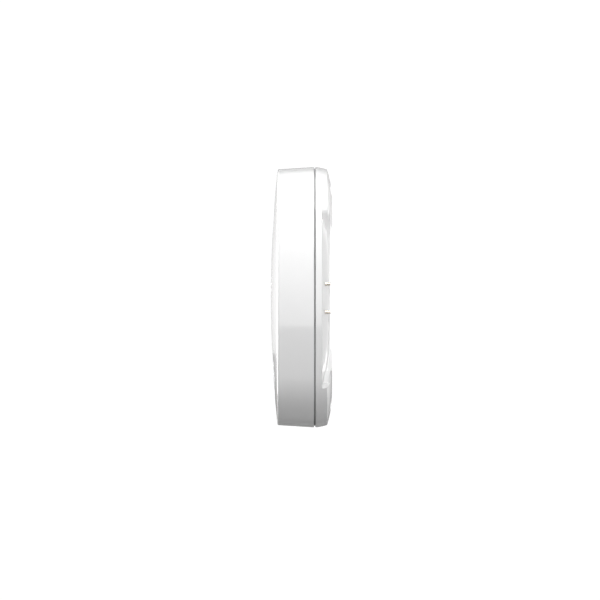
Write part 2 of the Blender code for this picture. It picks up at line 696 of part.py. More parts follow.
def boards():
    made = {name: block(name, size, place, finish) for name, (finish, size, place) in BLOCKS.items()}
    use_cutters(made["lens_holder"], [bore("holder_cut", HOLDER_BORE, HOLDER_CUT, CAMERA_CENTRE, 20)])
    width, depth, height = SHIELD_CAN_SIZE
    x, y, z = SHIELD_CAN_CENTRE
    inside = (width - 2 * SHIELD_CAN_WALL, depth, height - 2 * SHIELD_CAN_WALL)
    use_cutters(made["shield_can"], [block("can_cut", inside, (x, y + SHIELD_CAN_WALL, z))])

    rings = [pill(MAIN_BOARD_INSET, y) for y in (MAIN_BOARD_Y, MAIN_BOARD_Y + BOARD)]
    main_board = loft("main_board", rings, "board", smooth=False)
    holes = []
    screws = [(BOARD_SCREW_X * sx, BOARD_SCREW_Z * sz) for sx in (-1, 1) for sz in (-1, 1)]
    for i, place in enumerate(screws):
        holes.append(bore(f"board_cut_{i}", BOARD_SCREW_HOLE, MAIN_BOARD_CUT, place, 12))
        turned(f"board_screw_{i + 1}", BOARD_SCREW_PROFILE, "steel", place, 12)
    for i, place in enumerate(SCREW_PLACES):
        holes.append(bore(f"post_gap_{i}", POST_RADIUS + GAP, MAIN_BOARD_CUT, place))
    use_cutters(main_board, holes)

    for side, x in CAPACITOR_X.items():
        profile = ((CAPACITOR_RADIUS, POWER_REAR_Y), (CAPACITOR_RADIUS, CAPACITOR_END_Y))
        turned(f"bulk_capacitor_{side}", profile, "steel", (x, CAPACITOR_Z), 18)
    tube("power_coil", COIL_RADII, (POWER_REAR_Y, COIL_END_Y), "copper", COIL_PLACE)


def reset_control():
    turned("reset_button", RESET_PROFILE, "grey_plastic", (0, RESET_Z), 16)
    height = RESET_END - RESET_TRAVEL - CLEARANCE - POWER_REAR_Y
    size = (RESET_SWITCH, height, RESET_SWITCH)
    block("reset_switch", size, (0, POWER_REAR_Y + height / 2, RESET_Z), "grey_plastic")


def housing_screws():
    for i, place in enumerate(SCREW_PLACES):
        turned(f"housing_screw_{i + 1}", SCREW_PROFILE, "steel", place, 14)


def main():
    clear_scene()
    front_shell()
    rear_shell()
    seam_gasket()
    pads()
    contacts()
    camera()
    speaker()
    button()
    boards()
    reset_control()
    housing_screws()


main()
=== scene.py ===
"""Looks of the video doorbell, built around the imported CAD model.

Metres, +Z up, face along -Y, wall at Y = 0.
"""

import json
import math

import bmesh
import bpy
from mathutils import Matrix, Vector


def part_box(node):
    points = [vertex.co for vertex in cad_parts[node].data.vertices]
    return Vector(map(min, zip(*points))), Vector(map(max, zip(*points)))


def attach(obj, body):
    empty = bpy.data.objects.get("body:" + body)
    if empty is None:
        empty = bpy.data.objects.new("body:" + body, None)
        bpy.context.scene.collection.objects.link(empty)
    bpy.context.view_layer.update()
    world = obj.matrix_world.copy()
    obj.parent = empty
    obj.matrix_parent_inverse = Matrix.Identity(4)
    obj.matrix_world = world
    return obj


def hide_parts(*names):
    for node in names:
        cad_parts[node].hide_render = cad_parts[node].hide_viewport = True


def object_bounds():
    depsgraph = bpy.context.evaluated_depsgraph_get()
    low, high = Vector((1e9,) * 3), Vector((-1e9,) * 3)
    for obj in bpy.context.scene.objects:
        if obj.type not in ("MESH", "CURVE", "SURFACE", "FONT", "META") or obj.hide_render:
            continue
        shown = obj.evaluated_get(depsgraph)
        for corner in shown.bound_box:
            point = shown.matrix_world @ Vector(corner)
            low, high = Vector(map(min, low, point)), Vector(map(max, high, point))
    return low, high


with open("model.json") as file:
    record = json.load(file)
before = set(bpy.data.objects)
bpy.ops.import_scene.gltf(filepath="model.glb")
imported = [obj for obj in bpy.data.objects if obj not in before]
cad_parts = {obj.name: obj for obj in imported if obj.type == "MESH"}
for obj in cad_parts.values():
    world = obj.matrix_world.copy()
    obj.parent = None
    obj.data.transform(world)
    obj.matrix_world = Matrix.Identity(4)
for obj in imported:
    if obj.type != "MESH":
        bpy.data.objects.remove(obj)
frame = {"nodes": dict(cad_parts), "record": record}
CAD_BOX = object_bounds()

MM = 0.001

# Sizes shared with the CAD model.
LOW, HIGH = (Vector(corner) for corner in CAD_BOX)
END_RADIUS = (HIGH.x - LOW.x) / 2
END_CENTRE = HIGH.z - END_RADIUS
APEX_Y = LOW.y
EDGE_Y = APEX_Y + 3.1 * MM
FRONT_SEAM_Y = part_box("front_shell")[1][1]
REAR_SEAM_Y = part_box("rear_shell")[0][1]
REAR_EDGE_Y = -2.1 * MM
WALL = 2.5 * MM
EDGE_INSET = 1.0 * MM
EDGE_ROUND = 0.6 * MM
REAR_EDGE_INSET = 1.3 * MM
REAR_SIDE_RUN = 8.0 * MM
REAR_END_RUN = 13.8 * MM
REAR_STEPS = 22
REAR_BAND_STEPS = 6
REAR_BAND_POWER = 1.4
POCKET_Y = -6.4 * MM
CAVITY_Y = -2.2 * MM
CAVITY_INSET = 10.5 * MM
LIP_INSET = 0.7 * MM
LIP_ROUND = 0.28 * MM
LIP_STEPS = 8

SEAM_ROUND = 0.25 * MM
REAR_ROUND = 0.3 * MM
INNER_FOOT_Y = -12 * MM

# Face: camera window, press button, microphone and speaker holes. Profiles are (radius, depth from the face).
CAMERA_Z = 36 * MM
BUTTON_Z = -36 * MM
WINDOW_RADIUS = 7.0 * MM
BUTTON_RADIUS = 9.0 * MM
WINDOW_SEAT = ((9.6 * MM, 1.4 * MM), (9.6 * MM, 4.0 * MM))
BUTTON_SEAT = ((12.8 * MM, 1.6 * MM), (12.8 * MM, 4.2 * MM))
WINDOW_HOLE = (
    (WINDOW_RADIUS + 0.9 * MM, -1.0 * MM), (WINDOW_RADIUS + 0.3 * MM, 0.25 * MM),
    (WINDOW_RADIUS + 0.3 * MM, 2.2 * MM), (6.2 * MM, 2.2 * MM), (6.2 * MM, 6 * MM),
)
BUTTON_HOLE = (
    (BUTTON_RADIUS + 2.6 * MM, -1.0 * MM), (BUTTON_RADIUS + 2.0 * MM, 0.3 * MM),
    (BUTTON_RADIUS + 2.0 * MM, 2.4 * MM), (9.5 * MM, 2.4 * MM), (9.5 * MM, 6 * MM),
)
LENS_RADIUS = 3.3 * MM
MICROPHONE_Z = 22.5 * MM
MICROPHONE_HOLE = 0.6 * MM
SPEAKER_Z = 6 * MM
SPEAKER_HOLE = 0.7 * MM
HOLE_FOOT_Y = -23 * MM
HOLE_CHAMFER = 0.16 * MM
GRILLE_PITCH = 2.6 * MM
GRILLE_PLACES = [
    (GRILLE_PITCH * (i - (count - 1) / 2), SPEAKER_Z + GRILLE_PITCH * row)
    for row, count in ((-1, 4), (0, 5), (1, 4))
    for i in range(count)
]

# Housing screws, with the posts they turn into.
SCREW_PLACES = [(9 * MM * sx, 49.5 * MM * sz) for sx in (-1, 1) for sz in (-1, 1)]
POST = ((3.0 * MM, -24.2 * MM), (3.0 * MM, -8.9 * MM))
POST_BORE = 1.4 * MM
POST_BORE_SPAN = (-19 * MM, -8 * MM)
SCREW_SINK = 3.2 * MM
SCREW_SINK_MOUTH = 4.4 * MM
SCREW_SINK_Y = -4.2 * MM
SCREW_HOLE = 1.9 * MM
SCREW_FOOT_Y = -17 * MM
THREAD_TURNS = 18
THREAD_PITCH = 0.66 * MM
THREAD_TOP_Y = -4.6 * MM
THREAD_RADII = (0.85 * MM, 1.1 * MM)
THREAD_HALF = 0.16 * MM
LOBE_DEPTHS = (-3.3 * MM, -2.0 * MM)
LOBE_STEPS = 48

# Rear: contact pins, pads and reset button. Profiles are (radius, y).
CUT_Y = 2.0 * MM
PIN_X = 17.8 * MM
PIN_Z = {"upper": 6.0 * MM, "lower": -6.8 * MM}
PIN_RADIUS = 0.82 * MM
PIN_TIP_Y = -0.7 * MM
PIN_TIP_ROUND = 0.22 * MM
PIN_FOOT_Y = -6.0 * MM
BARREL_FOOT_Y = -10.1 * MM
BARREL_RADIUS = 1.35 * MM
BARREL_BORE = 1.1 * MM
BARREL_TAIL_RADIUS = 0.67 * MM
CUT_SEAM_Y = -9 * MM
PIN_HOLE = (
    (1.55 * MM, CUT_SEAM_Y), (1.55 * MM, -4.5 * MM), (1.02 * MM, -4.5 * MM), (1.02 * MM, CUT_Y),
)
PAD_Z = {"upper": 40.4 * MM, "lower": -40.4 * MM}
PAD_RECESS = (13.6 * MM, 2.2 * MM, 10.2 * MM)
PAD_RECESS_CORNER = 1.6 * MM
PAD_RECESS_EDGE = 0.1 * MM
RESET_Z = -24 * MM
RESET_HOLE = ((2.6 * MM, 0.6 * MM), (1.8 * MM, -0.2 * MM), (1.8 * MM, CUT_SEAM_Y))

# Side scoops.
SCOOP_OUTER = (22.63 * MM, -4.65 * MM)
# Rows along a scoop, in mm: height, foot of the wall (x, y), its shoulder (x, y), and x at the rear face.
SCOOP_RUNS = (
    (
        (44.0, 23.6, -4.65, 23.4, -0.73, 23.4), (41.4, 22.3, -4.65, 21.9, -0.73, 21.8),
        (39.5, 22.0, -4.65, 21.6, -0.73, 21.3), (38.2, 21.5, -4.65, 21.0, -0.73, 20.6),
        (36.9, 20.7, -4.65, 20.1, -0.73, 19.6), (35.5, 19.8, -4.2, 19.2, -0.73, 18.6),
        (34.1, 18.9, -3.74, 18.3, -0.73, 17.6), (32.3, 17.8, -3.28, 17.3, -0.73, 16.5),
        (30.5, 16.9, -2.83, 16.4, -0.73, 15.6), (28.3, 16.0, -2.37, 15.7, -0.73, 14.8),
        (24.5, 15.0, -1.91, 14.9, -0.73, 14.0), (20.0, 14.45, -1.55, 14.4, -0.73, 13.55),
        (8.0, 14.27, -1.44, 14.27, -0.73, 13.42), (-8.0, 14.27, -1.44, 14.27, -0.73, 13.42),
        (-20.0, 14.45, -1.55, 14.45, -0.83, 13.55), (-25.8, 15.0, -1.91, 15.0, -1.21, 13.8),
        (-29.5, 16.0, -2.37, 16.0, -1.67, 14.4), (-32.4, 17.1, -2.83, 17.1, -2.13, 15.2),
        (-33.6, 17.7, -3.05, 17.7, -2.35, 15.7),
    ),
    (
        (-33.64, 18.7, -3.3, 18.6, -1.0, 17.8), (-36.4, 19.0, -3.75, 18.9, -1.4, 18.1),
        (-39.1, 19.3, -4.2, 19.2, -1.9, 18.4),
    ),
    (
        (-39.14, 19.9, -4.3, 19.5, -1.9, 18.4), (-40.4, 21.0, -4.65, 20.5, -1.2, 19.8),
        (-41.4, 22.0, -4.65, 21.6, -0.73, 21.2), (-44.0, 24.4, -4.65, 24.2, -0.73, 24.2),
    ),
)
SCOOP_OUTSIDE = 25.6 * MM
SCOOP_LEVEL = 0.05 * MM
SCOOP_FLOOR_STEPS = 3
FOOT_ROUND = 0.2 * MM
RIM_CLEARANCE = 0.06 * MM

# Camera, floor and room. The room's values are radiances.
FRAME_WIDTH = 276.6 * MM
CAMERA_DISTANCE = 1.5367
TARGET = Vector((0, -14.65 * MM, -1.29 * MM))
SENSOR = 36
FLOOR_HALF = 0.45
FLOOR_Z = -0.6
BACKGROUND = 1.05
ROOM_ABOVE = 0.0
ROOM_BELOW = 0.3

# How finely the visible surfaces are drawn.
END_STEPS = 72
SIDE_STEPS = 60
ROUND_STEPS = 64


# ---------------------------------------------------------------- mesh tools


def new_object(name, bm, finish, sharp=32):
    """A mesh object from bm, with outward faces, smooth shading and one finish."""
    bmesh.ops.recalc_face_normals(bm, faces=bm.faces)
    if bm.calc_volume(signed=True) < 0:
        bmesh.ops.reverse_faces(bm, faces=bm.faces)
    mesh = bpy.data.meshes.new(name)
    bm.to_mesh(mesh)
    bm.free()
    obj = bpy.data.objects.new(name, mesh)
    bpy.context.scene.collection.objects.link(obj)
    if finish:
        mesh.materials.append(finish)
    mesh.shade_smooth()
    mesh.set_sharp_from_angle(angle=math.radians(sharp))
    return obj


def add_loft(bm, rings, ends="caps"):
    """Bridges rings of equal length.

    ends: caps for flat ends, fans for crowned ones, loop for a closed section.
    """
    rows = [[bm.verts.new(point) for point in ring] for ring in rings]
    pairs = list(zip(rows, rows[1:]))
    if ends == "loop":
        pairs.append((rows[-1], rows[0]))
    count = len(rows[0])
    for lower, upper in pairs:
        for i in range(count):
            j = (i + 1) % count
            bm.faces.new((lower[i], lower[j], upper[j], upper[i]))
    for row in (rows[0], rows[-1]):
        if ends == "caps":
            bm.faces.new(row)
        elif ends == "fans":
            middle = bm.verts.new(sum((v.co for v in row), Vector()) / count)
            for i in range(count):
                bm.faces.new((row[i], row[(i + 1) % count], middle))


def loft(name, rings, finish, ends="caps", sharp=32):
    bm = bmesh.new()
    add_loft(bm, rings, ends)
    return new_object(name, bm, finish, sharp)


def circle(radius, y, steps, centre=(0.0, 0.0)):
    turn = 2 * math.pi / steps
    x, z = centre
    return [
        Vector((x + radius * math.cos(turn * i), y, z + radius * math.sin(turn * i)))
        for i in range(steps)
    ]


def turned(name, profile, finish, centre=(0.0, 0.0), steps=ROUND_STEPS, ends="caps"):
    """A round piece about a line along Y, from (radius, y) pairs."""
    return loft(name, [circle(radius, y, steps, centre) for radius, y in profile], finish, ends)


def arc(centre, radius, start, end, steps=5):
    """(radius, y) pairs along a round corner of a turned profile, from one angle in degrees to another."""
    points = []
    for i in range(steps + 1):
        angle = math.radians(start + (end - start) * i / steps)
        points.append((centre[0] + radius * math.cos(angle), centre[1] + radius * math.sin(angle)))
    return points


def pill(inset, y, end_inset=None):
    """The outline moved in by inset, as a ring of points at depth y.

    end_inset is the distance in at the two ends, if that differs.
    """
    radius = END_RADIUS - inset
    rise = radius if end_inset is None else END_RADIUS - end_inset
    points = []
    for side in (1, -1):
        for i in range(END_STEPS + 1):
            angle = math.pi * i / END_STEPS
            points.append((side * radius * math.cos(angle), side * (END_CENTRE + rise * math.sin(angle))))
        for i in range(1, SIDE_STEPS):
            points.append((-side * radius, side * END_CENTRE * (1 - 2 * i / SIDE_STEPS)))
    return [Vector((x, y, z)) for x, z in points]


def corner_rings(inset, y, radius, from_face, steps=4):
    """Rings round an outer corner of the pill, from a face across Y to the side.

    from_face is -1 or 1: which way the corner runs along Y.
    """
    rings = []
    for i in range(steps + 1):
        angle = math.pi / 2 * i / steps
        depth = y - from_face * radius * (1 - math.cos(angle))
        rings.append(pill(inset + radius * (1 - math.sin(angle)), depth))
    return rings


def rounded_block(name, size, place, radius, bevel, finish, corner_steps=8, bevel_steps=4):
    """A flat block with rounded corners seen along Y, and small round edges at both faces."""
    half_x, half_z = size[0] / 2, size[2] / 2
    rings = []
    depth = size[1] / 2
    profile = []
    for i in range(bevel_steps + 1):
        angle = math.pi / 2 * i / bevel_steps
        profile.append((bevel * (1 - math.sin(angle)), -depth + bevel * (1 - math.cos(angle))))
    profile += [(inset, -y) for inset, y in reversed(profile)]
    for inset, y in profile:
        ring = []
        for sx, sz, start in ((1, 1, 0), (-1, 1, 90), (-1, -1, 180), (1, -1, 270)):
            for i in range(corner_steps + 1):
                angle = math.radians(start + 90 * i / corner_steps)
                x = sx * (half_x - radius) + (radius - inset) * math.cos(angle)
                z = sz * (half_z - radius) + (radius - inset) * math.sin(angle)
                ring.append(Vector(place) + Vector((x, y, z)))
        rings.append(ring)
    return loft(name, rings, finish, sharp=40)


def boolean(target, cutters, operation="DIFFERENCE"):
    """Cuts target with each cutter in turn, and deletes the cutters."""
    for cutter in cutters:
        modifier = target.modifiers.new("cut", "BOOLEAN")
        modifier.operation = operation
        modifier.solver = "EXACT"
        modifier.object = cutter
    apply_modifiers(target)
    for cutter in cutters:
        bpy.data.objects.remove(cutter, do_unlink=True)


def apply_modifiers(obj):
    graph = bpy.context.evaluated_depsgraph_get()
    graph.update()
    mesh = bpy.data.meshes.new_from_object(obj.evaluated_get(graph))
    old = obj.data
    obj.modifiers.clear()
    obj.data = mesh
    bpy.data.meshes.remove(old)


def smooth(obj, sharp=32):
    """Smooth shading with weighted normals, so that flat faces stay flat beside round ones."""
    obj.data.shade_smooth()
    obj.data.set_sharp_from_angle(angle=math.radians(sharp))
    modifier = obj.modifiers.new("normals", "WEIGHTED_NORMAL")
    modifier.keep_sharp = True
    apply_modifiers(obj)


def place_at(obj, place, tilt):
    obj.matrix_world = Matrix.Translation(place) @ Matrix.Rotation(tilt, 4, "X")
    return obj


def bake_place(obj):
    """Moves an object's place into its mesh."""
    obj.data.transform(obj.matrix_world)
    obj.matrix_world = Matrix.Identity(4)
    return obj


# ---------------------------------------------------------------- materials


class Nodes:
    """A material's node tree, with short calls for the nodes used here."""

    def __init__(self, name):
        self.material = bpy.data.materials.new(name)
        self.material.use_nodes = True
        self.tree = self.material.node_tree
        self.shader = self.tree.nodes["Principled BSDF"]
        self.coords = self.tree.nodes.new("ShaderNodeTexCoord").outputs["Object"]

    def join(self, source, target):
        self.tree.links.new(source, target)

    def noise(self, scale, detail=3.0, stretch=(1, 1, 1)):
        mapping = self.tree.nodes.new("ShaderNodeMapping")
        mapping.inputs["Scale"].default_value = stretch
        node = self.tree.nodes.new("ShaderNodeTexNoise")
        node.inputs["Scale"].default_value = scale
        node.inputs["Detail"].default_value = detail
        self.join(self.coords, mapping.inputs["Vector"])
        self.join(mapping.outputs["Vector"], node.inputs["Vector"])
        return node.outputs["Fac"]

    def spread(self, source, low, high):
        """source, from 0.3 to 0.7, mapped onto low to high."""
        node = self.tree.nodes.new("ShaderNodeMapRange")
        node.inputs["From Min"].default_value = 0.3
        node.inputs["From Max"].default_value = 0.7
        node.inputs["To Min"].default_value = low
        node.inputs["To Max"].default_value = high
        self.join(source, node.inputs["Value"])
        return node.outputs["Result"]

    def colours(self, source, first, second, start=0.3, end=0.7):
        ramp = self.tree.nodes.new("ShaderNodeValToRGB")
        ramp.color_ramp.elements[0].position = start
        ramp.color_ramp.elements[0].color = (*first, 1)
        ramp.color_ramp.elements[1].position = end
        ramp.color_ramp.elements[1].color = (*second, 1)
        self.join(source, ramp.inputs["Fac"])
        self.join(ramp.outputs["Color"], self.shader.inputs["Base Color"])

    def bump(self, source, depth, strength=1.0):
        node = self.tree.nodes.new("ShaderNodeBump")
        node.inputs["Distance"].default_value = depth
        node.inputs["Strength"].default_value = strength
        self.join(source, node.inputs["Height"])
        self.join(node.outputs["Normal"], self.shader.inputs["Normal"])

    def set(self, **values):
        for name, value in values.items():
            self.shader.inputs[name.replace("_", " ")].default_value = value


def plastic(name, colour, roughness, grain=900, depth=4e-6, change=0.012, coat=0.0):
    """Moulded plastic: a faint tint change, uneven gloss and a very fine moulded texture."""
    nodes = Nodes(name)
    darker = [max(0.0, value - change) for value in colour]
    nodes.colours(nodes.noise(60), darker, colour)
    gloss = nodes.spread(nodes.noise(140, 4), roughness * 0.85, roughness * 1.2)
    nodes.join(gloss, nodes.shader.inputs["Roughness"])
    nodes.bump(nodes.noise(grain, 2), depth)
    nodes.set(IOR=1.5)
    if coat:
        nodes.set(Coat_Weight=coat, Coat_Roughness=0.02)
    return nodes.material


def metal(name, colour, roughness, stretch=(1, 1, 1), depth=3e-6, change=0.05):
    """Plated metal with fine drawn or turned lines."""
    nodes = Nodes(name)
    darker = [max(0.0, value - change) for value in colour]
    lines = nodes.noise(1500, 3, stretch)
    nodes.colours(nodes.noise(350), darker, colour)
    nodes.join(nodes.spread(lines, roughness * 0.7, roughness * 1.4), nodes.shader.inputs["Roughness"])
    nodes.bump(lines, depth)
    nodes.set(Metallic=1.0)
    return nodes.material


def rubber(name, colour, roughness=0.7):
    nodes = Nodes(name)
    nodes.colours(nodes.noise(200), [value * 0.8 for value in colour], colour)
    gloss = nodes.spread(nodes.noise(600), roughness - 0.08, roughness + 0.08)
    nodes.join(gloss, nodes.shader.inputs["Roughness"])
    nodes.bump(nodes.noise(2500, 2), 1.2e-5)
    nodes.set(IOR=1.45)
    return nodes.material


def solder_mask(name):
    """Green board: copper traces show as slightly raised, lighter strips under the mask."""
    nodes = Nodes(name)
    brick = nodes.tree.nodes.new("ShaderNodeTexBrick")
    brick.inputs["Scale"].default_value = 420
    brick.inputs["Mortar Size"].default_value = 0.03
    turn = nodes.tree.nodes.new("ShaderNodeMapping")
    turn.inputs["Rotation"].default_value = (math.pi / 2, 0, 0)
    nodes.join(nodes.coords, turn.inputs["Vector"])
    nodes.join(turn.outputs["Vector"], brick.inputs["Vector"])
    nodes.colours(brick.outputs["Fac"], (0.012, 0.11, 0.055), (0.03, 0.2, 0.1), 0.0, 1.0)
    nodes.join(nodes.spread(nodes.noise(300), 0.28, 0.4), nodes.shader.inputs["Roughness"])
    nodes.bump(brick.outputs["Fac"], 2e-5)
    return nodes.material


def woven(name, colour):
    """Acoustic mesh: two crossed sets of fine threads."""
    nodes = Nodes(name)
    waves = []
    for axis in ("X", "Z"):
        wave = nodes.tree.nodes.new("ShaderNodeTexWave")
        wave.bands_direction = axis
        wave.inputs["Scale"].default_value = 900
        nodes.join(nodes.coords, wave.inputs["Vector"])
        waves.append(wave.outputs["Fac"])
    mix = nodes.tree.nodes.new("ShaderNodeMath")
    mix.operation = "MULTIPLY"
    nodes.join(waves[0], mix.inputs[0])
    nodes.join(waves[1], mix.inputs[1])
    nodes.colours(mix.outputs["Value"], [value * 0.3 for value in colour], colour, 0.0, 1.0)
    nodes.bump(mix.outputs["Value"], 4e-5)
    nodes.set(Roughness=0.85)
    return nodes.material


def coated_glass(name, colour, tint):
    """Polished dark optics, with a coloured sheen painted into the base colour towards the edge."""
    nodes = Nodes(name)
    weight = nodes.tree.nodes.new("ShaderNodeLayerWeight")
    weight.inputs["Blend"].default_value = 0.35
    # Painted sheen: the base colour runs from the dark glass colour to tint, the coating's reflection colour,
    # as the surface turns away from the view.
    nodes.colours(weight.outputs["Facing"], colour, tint, 0.1, 0.9)
    nodes.join(nodes.spread(nodes.noise(90), 0.02, 0.05), nodes.shader.inputs["Roughness"])
    nodes.set(IOR=1.6, Coat_Weight=0.6, Coat_Roughness=0.02)
    return nodes.material


FINISH = {
    "casing": plastic("casing", (0.9, 0.9, 0.9), 0.22, coat=1.0),
    "seal": rubber("seal", (0.4, 0.4, 0.405), 0.75),
    "pad": rubber("pad", (0.78, 0.78, 0.77), 0.6),
    "dark_window": plastic(
        "dark_window", (0.012, 0.012, 0.014), 0.05, grain=200, depth=1e-6, change=0.004, coat=0.5
    ),
    "lens": coated_glass("lens", (0.008, 0.008, 0.016), (0.05, 0.02, 0.12)),
    "black_plastic": plastic("black_plastic", (0.035, 0.035, 0.037), 0.5, grain=1800, depth=1.2e-5),
    "grey_plastic": plastic(
        "grey_plastic", (0.6, 0.6, 0.61), 0.45, grain=1800, depth=1e-5, change=0.03
    ),
    "chip": plastic("chip", (0.04, 0.04, 0.045), 0.55, grain=2600, depth=1.2e-5, change=0.01),
    "board": solder_mask("board"),
    "led": plastic("led", (0.88, 0.85, 0.66), 0.18, grain=500, depth=2e-6, change=0.08),
    "diffuser": plastic("diffuser", (0.84, 0.86, 0.87), 0.38, grain=1500, depth=6e-6, change=0.01),
    "foam": woven("foam", (0.1, 0.1, 0.1)),
    "steel": metal("steel", (0.7, 0.7, 0.71), 0.3, stretch=(1, 12, 1)),
    "gold": metal("gold", (0.8, 0.74, 0.66), 0.2, stretch=(1, 10, 1)),
    "copper": metal("copper", (0.76, 0.42, 0.26), 0.32, stretch=(12, 1, 1)),
}


def ride(obj, body, slot, *nodes):
    """Places a finished piece on a body and hides the CAD nodes it stands for. Its slot argument is not used.
    """
    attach(obj, body)
    if nodes:
        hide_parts(*nodes)
    return obj


# ---------------------------------------------------------------- surfaces of the two casings


def half_width(z):
    past = max(0.0, abs(z) - END_CENTRE)
    return math.sqrt(max((END_RADIUS - EDGE_INSET) ** 2 - past**2, 1e-12))


def dome_y(x, z):
    """The crown of the face: highest on the centre line, falling to nothing at its edge."""
    along = 1 - min(1.0, abs(z) / (HIGH.z - EDGE_INSET)) ** 2
    across = 1 - min(1.0, abs(x) / half_width(z)) ** 2
    return EDGE_Y - (EDGE_Y - APEX_Y) * along * across


def rear_y(share):
    """Depth of the rear surface at a share of the run from its edge to its flat middle."""
    return REAR_EDGE_Y * (1 - min(1.0, max(0.0, share))) ** 2


def face_place(z):
    """A point on the crown of the face, and the tilt of the surface there."""
    slope = 2 * (EDGE_Y - APEX_Y) * z / (HIGH.z - EDGE_INSET) ** 2
    return (0, dome_y(0, z), z), -math.atan(slope)


def dome_rings(inset, offset, count):
    """Rings of the crown from near its middle out to its edge."""
    edge = pill(inset, EDGE_Y)
    rings = []
    for i in range(1, count + 1):
        share = (i / count) ** 0.8
        rings.append([
            Vector((p.x * share, dome_y(p.x * share, p.z * share) + offset, p.z * share))
            for p in edge
        ])
    return rings


def front_shell():
    rounding = []
    for i in range(1, 6):
        angle = math.pi / 2 * i / 5
        inset = EDGE_INSET + EDGE_ROUND * (1 - math.sin(angle))
        rounding.append(pill(inset, EDGE_Y + EDGE_ROUND * (1 - math.cos(angle))))
    band = []
    start, end = EDGE_Y + EDGE_ROUND, FRONT_SEAM_Y - SEAM_ROUND
    for i in range(1, 10):
        share = i / 9
        band.append(pill(EDGE_INSET * (1 - share), start + (end - start) * share))
    seam = list(reversed(corner_rings(0, FRONT_SEAM_Y, SEAM_ROUND, 1)))[1:]
    inner = [
        pill(WALL, FRONT_SEAM_Y),
        pill(WALL, INNER_FOOT_Y),
        pill(EDGE_INSET + WALL, EDGE_Y + WALL),
    ]
    inner += list(reversed(dome_rings(EDGE_INSET + WALL, WALL, 10)))[1:]
    outer = dome_rings(EDGE_INSET + EDGE_ROUND, 0.0, 30)
    rings = [*outer, *rounding, *band, *seam, *inner]
    shell = loft("front_shell_fine", rings, FINISH["casing"], ends="fans")

    window_seat = turned("seat", WINDOW_SEAT, None)
    button_seat = turned("seat", BUTTON_SEAT, None)
    place_at(window_seat, *face_place(CAMERA_Z))
    place_at(button_seat, *face_place(BUTTON_Z))
    posts = [turned("post", POST, None, place, 24) for place in SCREW_PLACES]
    boolean(shell, [window_seat, button_seat, *posts], "UNION")

    window = turned("cut", WINDOW_HOLE, None)
    button = turned("cut", BUTTON_HOLE, None, steps=80)
    place_at(window, *face_place(CAMERA_Z))
    place_at(button, *face_place(BUTTON_Z))
    holes = bmesh.new()
    for place in GRILLE_PLACES:
        add_hole(holes, SPEAKER_HOLE, place)
    add_hole(holes, MICROPHONE_HOLE, (0, MICROPHONE_Z))
    for place in SCREW_PLACES:
        add_loft(holes, [circle(POST_BORE, y, 20, place) for y in POST_BORE_SPAN])
    boolean(shell, [window, button, new_object("holes", holes, None)])
    smooth(shell)
    ride(shell, "housing", "casing", "front_shell")


def add_hole(bm, radius, place):
    """A round hole through the face, with a small chamfer at its mouth."""
    mouth = dome_y(*place)
    profile = (
        (radius + HOLE_CHAMFER * 4, mouth - 3 * HOLE_CHAMFER),
        (radius + HOLE_CHAMFER, mouth),
        (radius, mouth + HOLE_CHAMFER),
        (radius, HOLE_FOOT_Y),
    )
    add_loft(bm, [circle(r, y, 24, place) for r, y in profile])


def between_rows(rows, steps=8):
    """Rows with smooth curves drawn through them, each column on its own."""
    slopes = []
    for i in range(len(rows)):
        before, after = rows[max(0, i - 1)], rows[min(len(rows) - 1, i + 1)]
        slopes.append([(b - a) / (after[0] - before[0]) for a, b in zip(before, after)])
    fine = []
    for i in range(len(rows) - 1):
        span = rows[i + 1][0] - rows[i][0]
        for step in range(steps if i < len(rows) - 2 else steps + 1):
            t = step / steps
            leaving, leaving_slope = 2 * t**3 - 3 * t**2 + 1, t**3 - 2 * t**2 + t
            coming, coming_slope = 3 * t**2 - 2 * t**3, t**3 - t**2
            fine.append([
                leaving * a + leaving_slope * span * c + coming * b + coming_slope * span * d
                for a, b, c, d in zip(rows[i], rows[i + 1], slopes[i], slopes[i + 1])
            ])
    return fine


def scoop_cutter(side):
    """The space of one side scoop, as sections along it: a sloped floor, a wall and its chamfer."""
    edge_x, edge_y = SCOOP_OUTER
    sections = []
    for run in SCOOP_RUNS:
        for row in between_rows(run):
            z, foot_x, foot_y, shoulder_x, shoulder_y, rim_x = (value * MM for value in row)
            slope = 0.0
            if foot_y > edge_y + SCOOP_LEVEL:
                slope = (edge_y - foot_y) / (edge_x - foot_x)
            section = [(SCOOP_OUTSIDE, CUT_Y)]
            for i in range(SCOOP_FLOOR_STEPS + 1):
                share = i / SCOOP_FLOOR_STEPS
                x = SCOOP_OUTSIDE + (foot_x + FOOT_ROUND - SCOOP_OUTSIDE) * share
                section.append((x, foot_y + slope * (x - foot_x)))
            section += [
                (foot_x + FOOT_ROUND / 4, foot_y + FOOT_ROUND / 4),
                (foot_x, foot_y + FOOT_ROUND),
                (shoulder_x, shoulder_y),
                (rim_x, RIM_CLEARANCE),
                (rim_x, CUT_Y),
            ]
            sections.append([Vector((side * x, y, z)) for x, y in section])
    return loft("scoop", sections, None)


